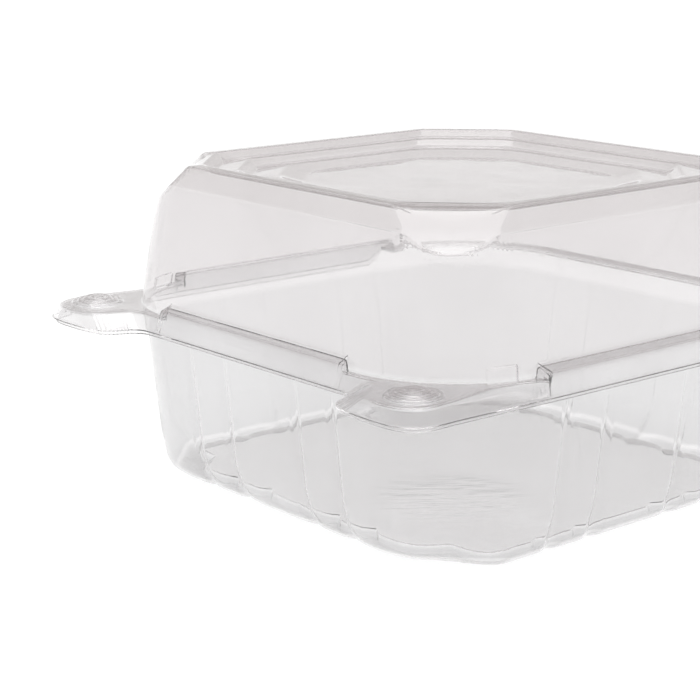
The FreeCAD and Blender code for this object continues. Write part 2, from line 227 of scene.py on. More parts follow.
# -------------------------------------------------------------------- the sheet
def bend(r0, r1, r2, d, k):
    """Rings round a rounded edge at r1 between r0 and r2, from d before to d after.
    d may be a pair, for before and after."""
    d0, d2 = d if isinstance(d, tuple) else (d, d)
    d0 = np.broadcast_to(np.asarray(d0, float), len(r1))[:, None]
    d2 = np.broadcast_to(np.asarray(d2, float), len(r1))[:, None]
    l0 = np.linalg.norm(r0 - r1, axis=1, keepdims=True)
    l2 = np.linalg.norm(r2 - r1, axis=1, keepdims=True)
    a = r1 + unit(r0 - r1) * np.minimum(d0, 0.48 * l0)
    c = r1 + unit(r2 - r1) * np.minimum(d2, 0.48 * l2)
    out = []
    for i in range(k + 1):
        s = i / k
        out.append((1 - s) ** 2 * a + 2 * s * (1 - s) * r1 + s * s * c)
    return out


def run(ctrl):
    """Rows along a chain of rings.  ctrl: (ring, rounding, rows in it, stations to
    the next ring)."""
    rows = [ctrl[0][0]]
    for i in range(1, len(ctrl)):
        ring, d, k, _ = ctrl[i]
        if i < len(ctrl) - 1 and k:
            new = bend(ctrl[i - 1][0], ring, ctrl[i + 1][0], d, k)
        else:
            new = [ring]
        last = rows[-1]
        for s in ctrl[i - 1][3]:
            rows.append(last + (new[0] - last) * s)
        rows += new
    return rows


class Sheet:
    def __init__(self):
        self.v, self.f = [], []

    def add(self, pts):
        k = len(self.v)
        self.v.extend([tuple(map(float, p)) for p in pts])
        return list(range(k, k + len(pts)))

    def strip(self, a, b, closed=True):
        n = len(a)
        for i in range(n if closed else n - 1):
            j = (i + 1) % n
            self.f.append((a[i], a[j], b[j], b[i]))

    def rows(self, rings, first=None):
        last = first
        for r in rings:
            cur = self.add(r)
            if last is not None:
                self.strip(last, cur)
            last = cur
        return last

    def fill(self, loop, holes):
        """Triangles in the flat area inside loop and outside the holes."""
        idx, edges, k = [], [], 0
        for ring in [loop] + holes:
            n = len(ring)
            edges += [(k + i, k + (i + 1) % n) for i in range(n)]
            idx += ring
            k += n
        flat = [Vector(self.v[i][:2]) for i in idx]
        vs, _, faces, orig, _, _ = delaunay_2d_cdt(flat, edges, [], 0, 1e-6)
        back = [o[0] if o else None for o in orig]

        def inside(p, ring):
            odd, m = False, len(ring)
            for i in range(m):
                a, b = self.v[ring[i]], self.v[ring[(i + 1) % m]]
                if (a[1] > p[1]) != (b[1] > p[1]):
                    if p[0] < (b[0] - a[0]) * (p[1] - a[1]) / (b[1] - a[1]) + a[0]:
                        odd = not odd
            return odd

        for f in faces:
            if any(back[i] is None for i in f):
                continue
            c = [sum(vs[i][q] for i in f) / len(f) for q in (0, 1)]
            if inside(c, loop) and not any(inside(c, h) for h in holes):
                a, b, d = (np.array(self.v[idx[back[i]]][:2]) for i in f)
                area = (b[0] - a[0]) * (d[1] - a[1]) - (b[1] - a[1]) * (d[0] - a[0])
                if abs(area) < 1e-9:
                    continue
                tri = [idx[back[i]] for i in f]
                self.f.append(tuple(tri if area > 0 else tri[::-1]))

    def thick(self, name, t, closed_pole=None):
        """A closed mesh object: the sheet with thickness t, half on each side."""
        me = bpy.data.meshes.new(name + "_mid")
        me.from_pydata(self.v, [], self.f)
        me.update()
        n = len(self.v)
        nor = np.zeros(n * 3, dtype=np.float32)
        me.vertex_normals.foreach_get("vector", nor)
        nor = nor.reshape(n, 3).astype(float)
        bpy.data.meshes.remove(me)
        v = np.array(self.v)
        top, low = v + nor * t / 2, v - nor * t / 2
        faces = list(self.f) + [tuple(i + n for i in reversed(f)) for f in self.f]
        seen = {}
        for f in self.f:
            for i in range(len(f)):
                e = (f[i], f[(i + 1) % len(f)])
                seen[e] = seen.get(e, 0) + 1
        for (a, b) in list(seen):
            if (b, a) not in seen:
                faces.append((b, a, a + n, b + n))
        return solid(name, np.vstack([top, low]), faces)


def solid(name, verts, faces):
    me = bpy.data.meshes.new(name)
    v = np.array(verts, float)
    v[:, 1] += SHIFT_Y
    me.from_pydata((v * 0.001).tolist(), [], faces)
    me.update()
    me.polygons.foreach_set("use_smooth", [True] * len(me.polygons))
    obj = bpy.data.objects.new(name, me)
    bpy.context.scene.collection.objects.link(obj)
    return obj


# --------------------------------------------------- ledge outlines with the ears
# one ear, at the +X -Y corner, from the front side round to the right side
EAR_TOP = [(35, -66.2), (39.5, -66.2), (42.8, -66.4), (45.2, -67.6), (46.8, -69.8),
           (48.2, -72.4), (50.2, -75.1), (53.6, -76.7), (58.2, -77.1), (62.8, -76.0),
           (65.9, -73.0), (67.0, -69.0), (66.6, -64.0), (65.8, -58.0), (65.1, -52.0),
           (65.0, -47.0), (65.6, -43.0), (66.8, -39.0)]
EAR_LIP = [(35, -67.6), (37.2, -67.7), (39.2, -68.3), (40.6, -69.8), (41.4, -71.9),
           (42.6, -74.3), (45.2, -76.4), (49.5, -77.3), (56.5, -77.6), (62.8, -77.3),
           (66.9, -75.3), (68.4, -71.0), (68.3, -65.0), (68.4, -58.0), (68.5, -52.0),
           (68.6, -47.0), (68.7, -43.0), (68.7, -39.0)]
SKIRT_LOW = 39.85                 # middle of the lid's lip
BACK_EDGE = 69.62

# stations along the ear: close on its grip end, whose wall has fine ribs
ear_u = np.concatenate([np.linspace(0.25, 2.6, 10), np.linspace(2.7, 6.4, 50),
                        np.linspace(6.6, 16.8, 40)])
turn_s = corner_stations(24)

fine_front = [(-33.5, 0.9, 0.15), (33.5, 0.9, 0.15)]
fine_side = [(-37.4, 0.9, 0.15), (34.0, 0.9, 0.15)]
lid_front = side_stations(-AF, AF, 2.0, fine_front)
lid_side = side_stations(AS0, AS1, 2.0, fine_side)
flute_at = (-26.4, -13.2, 13.2, 26.4)
grooves = [(x, 3.4, 0.4) for x in flute_at]
tray_front = side_stations(-AF, AF, 2.2, fine_front + grooves)
tray_side = side_stations(AS0, AS1, 2.2, fine_side + grooves)
plain_back = side_stations(-AF, AF, 3.0, [])
tray_back = side_stations(-AF, AF, 2.2, grooves)


def ledge_rings(cols, inset):
    """Plan rings of the ledge's top edge and of the lip, and per column the height
    of the bead (0 to 1) and of the skirt (0 to 1)."""
    top, lip = np.zeros((cols.n, 2)), np.zeros((cols.n, 2))
    bead, skirt = np.zeros(cols.n), np.ones(cols.n)
    for k in range(cols.n):
        z, t = cols.name[k], cols.val[k]
        if z == "front":
            top[k], lip[k] = (t, -66.2), (t, -67.6)
            bead[k] = 1 - step(33.2, 33.6, abs(t))
        elif z in ("right", "left"):
            s = 1 if z == "right" else -1
            x = 66.6 + 1.6 * float(step(-38.9, -37.4, t))
            top[k], lip[k] = (s * x, t), (s * 68.75, t)
            bead[k] = step(-37.7, -37.3, t) * (1 - step(33.7, 34.1, t))
            skirt[k] = 1 - 0.999 * step(29.0, 35.5, t)
        elif z == "back":
            top[k], lip[k] = (t, BACK_EDGE), (t, BACK_EDGE + 0.16)
            skirt[k] = 0.001
        elif z in ("R", "B"):
            a = t * 90 if z == "R" else (1 - t) * 90
            s = 1 if z == "R" else -1
            # from (68.2, 36) round to (35, back): an arc of about 31 mm
            ex, ey = 68.2 - 35.0, BACK_EDGE - 36.0
            px = 35.0 + ex * math.cos(math.radians(a))
            py = 36.0 + ey * math.sin(math.radians(a))
            top[k] = (s * px, py)
            nx, ny = math.cos(math.radians(a)), math.sin(math.radians(a))
            lip[k] = (s * (px + 0.16 * nx), py + 0.16 * ny)
            skirt[k] = 0.001
        else:
            u = np.array([t if z == "F" else len(EAR_TOP) - 1 - t])
            p, q = catmull(EAR_TOP, u)[0], catmull(EAR_LIP, u)[0]
            s = 1 if z == "F" else -1
            top[k], lip[k] = (s * p[0], p[1]), (s * q[0], q[1])
    # the skirt's outline draws in to the ledge's edge where the skirt runs out
    w = np.clip(skirt, 0, 1)[:, None]
    edge = top + outward(top) * 0.16
    lip = edge * (1 - w) + lip * w
    if inset:
        top = top - outward(top) * inset * w
        lip = lip - outward(lip) * inset * w
    return top, lip, bead, skirt


def ear_columns(front, side, back):
    n = len(EAR_TOP) - 1
    return Columns(front, side, np.asarray(back)[::-1], np.asarray(side)[::-1],
                   ear_u, turn_s, turn_s, (n - ear_u)[::-1])


def foot_columns(front, side, back, ears, rears):
    return Columns(front, side, np.asarray(back)[::-1], np.asarray(side)[::-1],
                   ears, rears, rears, (1 - np.asarray(ears))[::-1])


BUTTON = (58.7, -67.7)
BUTTON_SIZE = 0.91
BUTTON_STEPS = [(7.25, 0.0), (7.12, 0.0), (7.02, 0.02), (6.9, 0.16), (6.78, 0.36), (6.62, 0.50), (6.4, 0.55),
                (6.05, 0.50), (5.85, 0.40), (5.65, 0.36), (5.45, 0.44), (5.28, 0.66), (5.1, 0.88),
                (4.9, 0.98), (4.55, 1.00), (4.25, 0.93), (4.05, 0.86), (3.85, 0.88), (3.68, 1.06),
                (3.5, 1.28), (3.3, 1.42), (3.05, 1.47), (2.6, 1.46), (2.2, 1.40), (1.95, 1.36),
                (1.7, 1.42), (1.5, 1.52), (1.2, 1.58), (0.6, 1.60)]
BUTTON_TOP = 1.60


def ledge_zone(sheet, ecols, fcols, e_ids, f_ids, e_ring, f_ring, z, sides, buttons, rows=5):
    """Joins the outer rings to the wall's first ring: strips with the beads along the
    sides, flat fields at the corners with the press buttons in them."""
    ends = {}
    for name in sides:
        ei, fi = ecols.idx(name), fcols.idx(name)
        last = [e_ids[i] for i in ei]
        cols_end = [[last[0]], [last[-1]]]
        for k in range(1, rows):
            s = k / rows
            pts = e_ring[ei] * (1 - s) + f_ring[fi] * s
            cur = sheet.add(pts)
            sheet.strip(last, cur, False)
            cols_end[0].append(cur[0])
            cols_end[1].append(cur[-1])
            last = cur
        sheet.strip(last, [f_ids[i] for i in fi], False)
        cols_end[0].append(f_ids[fi[0]])
        cols_end[1].append(f_ids[fi[-1]])
        ends[name] = cols_end
    order = ["front", "F", "right", "R", "back", "B", "left", "L"]
    for name in "FRBL":
        k = order.index(name)
        before, after = ends[order[k - 1]][1], ends[order[(k + 1) % 8]][0]
        e = [e_ids[i] for i in ecols.idx(name)]
        f = [f_ids[i] for i in fcols.idx(name)]
        loop = [before[0]] + e + after[:-1] + [after[-1]] + f[::-1] + before[::-1][:-1]
        holes = []
        if name in "FL" and buttons:
            cx, cy = (BUTTON[0] if name == "F" else -BUTTON[0]), BUTTON[1]
            n = 54
            ang = [2 * math.pi * i / n for i in range(n)]
            last = None
            for r, h in BUTTON_STEPS:
                h2 = h * buttons
                cur = sheet.add([(cx + r * BUTTON_SIZE * math.cos(a), cy + r * BUTTON_SIZE * math.sin(a), z + h2)
                                 for a in ang])
                if last is None:
                    holes.append(cur)
                else:
                    sheet.strip(last, cur)
                last = cur
            mid = sheet.add([(cx, cy, z + BUTTON_TOP * buttons)])[0]
            for i in range(n):
                sheet.f.append((last[i], last[(i + 1) % n], mid))
        sheet.fill(loop, holes)


def ribs(cols, amount):
    """Fine upright ribs on the grip ends of the ears: an in and out shift per column."""
    out = np.zeros(cols.n)
    for k in range(cols.n):
        if cols.name[k] in "FL":
            u = cols.val[k] if cols.name[k] == "F" else len(EAR_TOP) - 1 - cols.val[k]
            w = float(step(2.8, 3.2, u) * (1 - step(5.9, 6.4, u)))
            out[k] = w * amount * math.sin(2 * math.pi * (u - 2.7) / 0.36)
    return out


# --------------------------------------------------------------------------- lid
def lid_sheet():
    sh = Sheet()
    ec = ear_columns(lid_front, lid_side, plain_back)
    lug_s, lug_w, lug_out = 0.8275, 0.0875, 1.0
    fc = foot_columns(lid_front, lid_side, plain_back,
                      corner_stations(34, (lug_s, 0.102, 34)), corner_stations(24))
    top, lip, bead, skirt = ledge_rings(ec, 0)
    rib = ribs(ec, 0.26)
    n_lip = outward(lip)
    z_edge = LEDGE + bead * 1.75
    z_lip = LEDGE - np.clip(skirt, 0, 1) * (LEDGE - SKIRT_LOW)
    curl = at_z(lip + n_lip * (0.10 + 0.28 * np.clip(skirt, 0, 1))[:, None], z_lip - 0.10 * np.clip(skirt, 0, 1))
    low = at_z(lip + n_lip * rib[:, None], z_lip)
    mid_up = at_z(top * 0.45 + (lip + n_lip * rib[:, None]) * 0.55, z_lip * 0.55 + z_edge * 0.45)
    edge = at_z(top, z_edge)
    inn = -outward(top)
    nxt = at_z(top + inn * 3.0, z_edge + bead * 0.75)
    reach = np.linalg.norm(edge[:, :2] - low[:, :2], axis=1)
    soft = 0.5 + np.clip(reach - 1.6, 0, 3) * 0.3 + (1 - bead) * 0.15
    soft = np.where(skirt < 0.5, 0.12, soft)
    gap = nearest(top, rrect(64.1, 64.1, 64.1, 28.6))
    rows = run([(curl, 0, 0, (0.5,)), (low, 0.4, 4, (0.12, 0.5, 0.88)),
                (edge, (soft, np.minimum(soft, gap * 0.25)), 5, (0.04,)), (nxt, 0, 0, ())])
    rows = rows[:-1]
    ids = None
    for r in rows:
        cur = sh.add(r)
        if ids is not None:
            sh.strip(ids, cur)
        ids = cur
    e_ring = rows[-1]

    # the wall's foot, moved out where a lug stands
    foot_plan = fc.ring(rrect(64.1, 64.1, 64.1, 28.6))
    fbead = np.zeros(fc.n)
    for k in range(fc.n):
        z, t = fc.name[k], fc.val[k]
        if z == "front":
            fbead[k] = 1 - step(33.2, 33.6, abs(t))
        elif z in ("right", "left"):
            fbead[k] = step(-37.7, -37.3, t) * (1 - step(33.7, 34.1, t))
    lug = np.zeros(fc.n)
    for k in range(fc.n):
        if fc.name[k] in "FL":
            s = fc.val[k] if fc.name[k] == "F" else 1 - fc.val[k]
            lug[k] = float(step(lug_s - lug_w, lug_s - lug_w + 0.012, s)
                           * (1 - step(lug_s + lug_w - 0.012, lug_s + lug_w, s)))
    n_foot = outward(foot_plan)

    def wall_plan(z):
        """The wall's outline between ledge and band."""
        s = (z - LEDGE) / (74.0 - LEDGE)
        h = 64.1 + (56.6 - 64.1) * s
        r = 28.6 + (16.5 - 28.6) * s
        bow = 0.35 * math.sin(math.pi * min(max(s, 0), 1))
        return by_ray(rrect(h + bow, h + bow, h + bow, r), foot_plan)

    def wall_at(zs):
        """Wall points at a height per column."""
        lo, hi = 43.0, 50.0
        a, b = wall_plan(lo), wall_plan(hi)
        s = ((zs - lo) / (hi - lo))[:, None]
        return np.column_stack([a * (1 - s) + b * s, zs])

    z_foot = LEDGE + fbead * 2.85
    shift = np.column_stack([n_foot * (lug * lug_out)[:, None], np.zeros(fc.n)])
    foot = wall_at(z_foot) + shift
    before = foot + np.column_stack([n_foot * 1.2, -fbead * 0.32])
    after = wall_at(z_foot + 1.2) + shift
    room = nearest(foot_plan, top)
    rows = bend(before, foot, after, (np.minimum(0.6, room * 0.2), 0.6), 5)
    # support row outside the rounding, so that the flat field stays flat in shading
    rows = [rows[0] + unit(before - foot) * np.minimum(0.2, room * 0.08)[:, None]] + rows
    f_ring = rows[0]
    # lug rows: the wall above the foot goes back in over the lug's top
    for zr in (44.6, 45.4, 46.1, 46.3, 46.45, 46.6, 46.72, 46.84, 47.0, 47.4, 47.9):
        zs = np.maximum(z_foot + 0.75 + (zr - 44.6) * 0.62, zr)
        k = lug * (1 - float(step(46.3, 46.85, zr)))
        p = wall_at(zs)
        rows.append(p + np.column_stack([n_foot * (k * lug_out)[:, None], np.zeros(fc.n)]))
    for zr in (50.0, 54.0, 58.0, 62.0, 65.0, 67.0, 68.2, 69.2, 70.0, 70.8, 71.5, 72.1, 72.6, 72.95):
        rows.append(at_z(wall_plan(zr), zr))
    for zr, o in ((73.15, 0.03), (73.3, 0.10), (73.45, 0.17), (73.6, 0.20), (73.8, 0.19), (74.0, 0.12),
                  (74.2, 0.05), (74.5, 0.0)):
        q = wall_plan(min(zr, 74.0))
        q = q - unit(q) * max(0.0, zr - 73.6) * 0.39
        rows.append(at_z(q + unit(q) * o, zr))
    crest = at_z(by_ray(rrect(54.9, 54.9, 54.9, 15.5), foot_plan), 78.45 - SKIN / 2)
    zt = 78.7 - SKIN / 2

    def oct_ring(h, leg, soft, z):
        return at_z(by_ray(octagon(h, h, leg, soft), foot_plan), z)

    ctrl = [(rows[-1], 0, 0, (0.25, 0.5, 0.75)),
            (crest, 0.6, 5, (0.1,)),
            (oct_ring(51.9, 16.8, 2.0, zt), 0.5, 4, (0.5,)),
            (oct_ring(50.3, 16.8, 2.5, zt - 1.8), 0.6, 4, (0.12, 0.88)),
            (oct_ring(45.8, 16.4, 3.5, zt - 1.5), 0.6, 4, (0.5,)),
            (oct_ring(44.0, 16.2, 4.0, zt - 3.2), 0.6, 4, (0.12, 0.88)),
            (oct_ring(38.8, 16.2, 5.5, zt - 2.9), 0.7, 4, (0.5,)),
            (oct_ring(35.2, 16.4, 7.0, zt - 4.4), 0.8, 4, (0.15, 0.85)),
            (oct_ring(20.0, 9.3, 4.0, zt - 4.4), 0, 0, ())]
    rows += run(ctrl)[1:]
    # facets cut the four top corners
    const = (55.0 - 17.9 / 2) * math.sqrt(2) - SKIN / 2 * 1.0
    for i, r in enumerate(rows):
        if r[:, 2].max() < 62:
            continue
        r = r.copy()
        dia = (np.abs(r[:, 0]) + np.abs(r[:, 1])) / math.sqrt(2)
        dist = (dia + (r[:, 2] - (78.4 - 0.06)) - const) * math.sqrt(0.5)
        kk = 0.42
        s = np.where(dist > kk, dist, np.where(dist < -kk, 0, (dist + kk) ** 2 / (4 * kk)))
        n = np.column_stack([np.sign(r[:, 0]) * 0.5, np.sign(r[:, 1]) * 0.5, np.full(len(r), math.sqrt(0.5))])
        rows[i] = r - n * s[:, None]
    f_ids, last = None, None
    for r in rows:
        cur = sh.add(r)
        if last is None:
            f_ids = cur
        else:
            sh.strip(last, cur)
        last = cur
    for s in (0.62, 0.3, 0.1):
        r = rows[-1].copy()
        r[:, :2] *= s
        cur = sh.add(r)
        sh.strip(last, cur)
        last = cur
    mid = sh.add([(0, 0, rows[-1][0, 2])])[0]
    for i in range(fc.n):
        sh.f.append((last[i], last[(i + 1) % fc.n], mid))
    ledge_zone(sh, ec, fc, ids, f_ids, e_ring, f_ring, LEDGE, ("front", "right", "back", "left"), 1.0)
    return sh


# -------------------------------------------------------------------------- tray
def tray_sheet():
    sh = Sheet()
    ec = ear_columns(tray_front, tray_side, tray_back)
    fc = foot_columns(tray_front, tray_side, tray_back, corner_stations(38), corner_stations(38))
    top, lip, bead, skirt = ledge_rings(ec, PLAY)
    rib = ribs(ec, 0.18)
    n_lip = outward(lip)
    zl = LEDGE - DROP
    w = np.clip(skirt, 0, 1)
    z_edge = zl + bead * 1.75
    z_lip = zl - w * (zl - 38.8)
    curl = at_z(lip + n_lip * (0.06 + 0.16 * w)[:, None], z_lip - 0.08 * w)
    low = at_z(lip + n_lip * rib[:, None], z_lip)
    edge = at_z(top, z_edge)
    nxt = at_z(top - outward(top) * 3.0, z_edge + bead * 0.75)
    reach = np.linalg.norm(edge[:, :2] - low[:, :2], axis=1)
    soft = 0.5 + np.clip(reach - 1.6, 0, 3) * 0.3 + (1 - bead) * 0.15
    soft = np.where(skirt < 0.5, 0.12, soft)
    gap = nearest(top, rrect(64.0, 64.0, 64.0, 29.5))
    rows = run([(curl, 0, 0, (0.5,)), (low, 0.4, 4, (0.12, 0.5, 0.88)),
                (edge, (soft, np.minimum(soft, gap * 0.25)), 5, (0.04,)), (nxt, 0, 0, ())])[:-1]
    ids = None
    for r in rows:
        cur = sh.add(r)
        if ids is not None:
            sh.strip(ids, cur)
        ids = cur
    e_ring = rows[-1]

    fbead = np.zeros(fc.n)
    for k in range(fc.n):
        z, t = fc.name[k], fc.val[k]
        if z == "front":
            fbead[k] = 1 - step(33.2, 33.6, abs(t))
        elif z in ("right", "left"):
            fbead[k] = step(-37.7, -37.3, t) * (1 - step(33.7, 34.1, t))

    def wall_half(z):
        return 64.0 + (59.3 - 64.0) * (zl - z) / (zl - 0.0)

    def plan(z, rho_x, rho_y):
        """The tray's outline at height z: wall, then the turn under it."""
        h = wall_half(z)

        def tuck(rho):
            return rho * (1 - math.sqrt(max(0.0, 1 - ((rho - z) / rho) ** 2))) if z < rho else 0.0

        hx, hy = h - tuck(rho_x), h - tuck(rho_y)
        s = min(max((z - 7.0) / (zl - 7.0), 0), 1)
        r = 25.6 + (29.5 - 25.6) * s
        if z < 8.0:
            q = z / 8.0
            r = 15.5 + (25.6 - 15.5) * (q * (1.6 - 0.6 * q))
        ring = fc.ring(rrect(hx, hy, hy, r))
        # the four corners turn under in a wider round
        deep = 0.62 * (11.0 - math.sqrt(max(0.0, 121.0 - (11.0 - z) ** 2))) if z < 11 else 0.0
        w = np.array([math.sin(math.pi * v) ** 2 if n in "FRBL" and len(n) == 1 else 0.0
                      for n, v in zip(fc.name, fc.val)])
        return ring - outward(ring) * (w * deep)[:, None]

    def flutes(p, z):
        """Pillows between the flutes, and the flutes themselves."""
        out = p.copy()
        n = outward(p)
        for k in range(fc.n):
            zone, t = fc.name[k], fc.val[k]
            if zone not in ("front", "right", "back", "left"):
                continue
            depth = 0.60 * float(step(1.0, 8.0, z)) * (1 - 0.4 * float(step(12.0, 40.0, z))) * (1 - float(step(39.0, 41.5, z)))
            depth += 1.25 * (1 - float(step(2.0, 9.0, z)))
            wide = 1.9 + 1.5 * (1 - float(step(2.0, 12.0, z)))
            d = 0.0
            for c in flute_at:
                g = abs(t - c)
                if g < wide:
                    d = max(d, depth * 0.5 * (1 + math.cos(math.pi * g / wide)))
            low = 1 - float(step(3.0, 11.5, z))
            if zone in ("front", "back") and low > 0:
                marks = (-43.0,) + flute_at + (43.0,)
                for a, b in zip(marks[:-1], marks[1:]):
                    if a <= t < b:
                        u = (t - (a + b) / 2) / ((b - a) / 2)
                        bulge = 1 - abs(u) ** 2.6
                        if a == -43.0 or b == 43.0:
                            bulge = 1 - max(0.0, u if a == -43.0 else -u) ** 2.6
                        d += low * 1.0 * (1 - bulge)
            out[k] -= n[k] * d
        return out

    def lens(r):
        """The small flat facets low on the four corners."""
        r = r.copy()
        al = math.atan(0.60)
        dia = (np.abs(r[:, 0]) + np.abs(r[:, 1])) / math.sqrt(2)
        dist = (dia - (73.0 - (6.9 - r[:, 2]) * 0.60)) * math.cos(al)
        kk = 0.12
        s = np.where(dist > kk, dist, np.where(dist < -kk, 0, (dist + kk) ** 2 / (4 * kk)))
        s = s * step(9.6, 8.4, r[:, 2])
        c = math.cos(al) / math.sqrt(2)
        r[:, 0] -= np.sign(r[:, 0]) * c * s
        r[:, 1] -= np.sign(r[:, 1]) * c * s
        return r

    z_mouth = zl + fbead * 2.85
    mouth_plan = plan(zl, 3.0, 6.5)
    n_m = outward(mouth_plan)

    def wall_at(zs):
        a, b = plan(40.0, 3.0, 6.5), plan(42.9, 3.0, 6.5)
        s = ((zs - 40.0) / 2.9)[:, None]
        return np.column_stack([a * (1 - s) + b * s, zs])

    mouth = wall_at(z_mouth)
    mouth[:, :2] = mouth_plan + n_m * (fbead * 0.25)[:, None]
    before = mouth + np.column_stack([n_m * 1.2, -fbead * 0.32])
    after = wall_at(z_mouth - 1.4)
    room = nearest(mouth_plan, top)
    rows = bend(before, mouth, after, (np.minimum(0.6, room * 0.28), 0.6), 5)
    rows = [rows[0] + unit(before - mouth) * np.minimum(0.2, room * 0.08)[:, None]] + rows
    f_ring = rows[0]
    levels = [41.6, 40.4, 37.0, 31.0, 25.0, 19.0, 15.0, 12.5, 11.0, 9.6, 8.6, 7.7, 6.9, 6.1,
              5.3, 4.5, 3.7, 3.0, 2.4, 1.8, 1.3, 0.8, 0.4, 0.15, 0.0]
    for z in levels:
        p = flutes(plan(z, 3.2, 6.6), z)
        rows.append(lens(at_z(p, z + SKIN / 2)))
    foot = rows[-1]
    # under the foot: a narrow flat, then up to the raised floor
    inner = at_z(foot[:, :2] * (1 - 0.9 / 58.0), 0.0 + SKIN / 2)
    panel = at_z(foot[:, :2] * (1 - 1.6 / 58.0), 1.7 + SKIN / 2)
    deep = at_z(by_ray(octagon(44.5, 44.5, 14.5, 8.0), foot[:, :2]), 1.75 + SKIN / 2)
    ctrl = [(foot, 0, 0, ()), (inner, 0.4, 4, (0.2,)), (panel, 0.45, 4, (0.5,)), (deep, 0.8, 3, (0.1, 0.5)),
            (at_z(by_ray(octagon(36.0, 36.0, 11.8, 3.0), foot[:, :2]), 1.75 + SKIN / 2), 0, 0, ())]
    rows += run(ctrl)[1:]
    f_ids, last = None, None
    for r in rows:
        cur = sh.add(r)
        if last is None:
            f_ids = cur
        else:
            sh.strip(last, cur)
        last = cur
    for s in (0.75, 0.5, 0.25, 0.08):
        r = rows[-1].copy()
        r[:, :2] *= s
        cur = sh.add(r)
        sh.strip(last, cur)
        last = cur
    mid = sh.add([(0, 0, rows[-1][0, 2])])[0]
    for i in range(fc.n):
        sh.f.append((last[i], last[(i + 1) % fc.n], mid))
    ledge_zone(sh, ec, fc, ids, f_ids, e_ring, f_ring, zl, ("front", "right", "back", "left"), 1.0)
    return sh


# -------------------------------------------------------------------------- fold
def fold_strip():
    """The bent strip of the same sheet that joins the two ledges at the back."""
    zc, yc, r = LEDGE - DROP / 2, 69.80, DROP / 2
    half, m, n = 37.5, 30, 24
    verts, faces, rings = [], [], []
    for i in range(m + 1):
        x = -half + 2 * half * i / m
        cross = []
        path = [(yc - 0.02, zc - r)]
        for k in range(n + 1):
            a = -math.pi / 2 + math.pi * k / n
            path.append((yc + 0.03 + r * math.cos(a), zc + r * math.sin(a)))
        path.append((yc - 0.02, zc + r))
        p = np.array(path)
        t = np.gradient(p, axis=0)
        t /= np.linalg.norm(t, axis=1, keepdims=True)
        nn = np.stack([t[:, 1], -t[:, 0]], 1)
        outer, inner = p + nn * 0.17, p - nn * 0.17
        loop = list(outer) + list(inner[::-1])
        rings.append([len(verts) + q for q in range(len(loop))])
        verts += [(x, y, z) for y, z in loop]
    k = len(rings[0])
    for a, b in zip(rings[:-1], rings[1:]):
        for i in range(k):
            j = (i + 1) % k
            faces.append((a[i], a[j], b[j], b[i]))
    # end caps as quads across the strip
    h = k // 2
    for ring, flip in ((rings[0], False), (rings[-1], True)):
        for i in range(h - 1):
            q = (ring[i], ring[k - 1 - i], ring[k - 2 - i], ring[i + 1])
            faces.append(q if not flip else q[::-1])
    obj = solid("fold", np.array(verts), faces)
    return obj


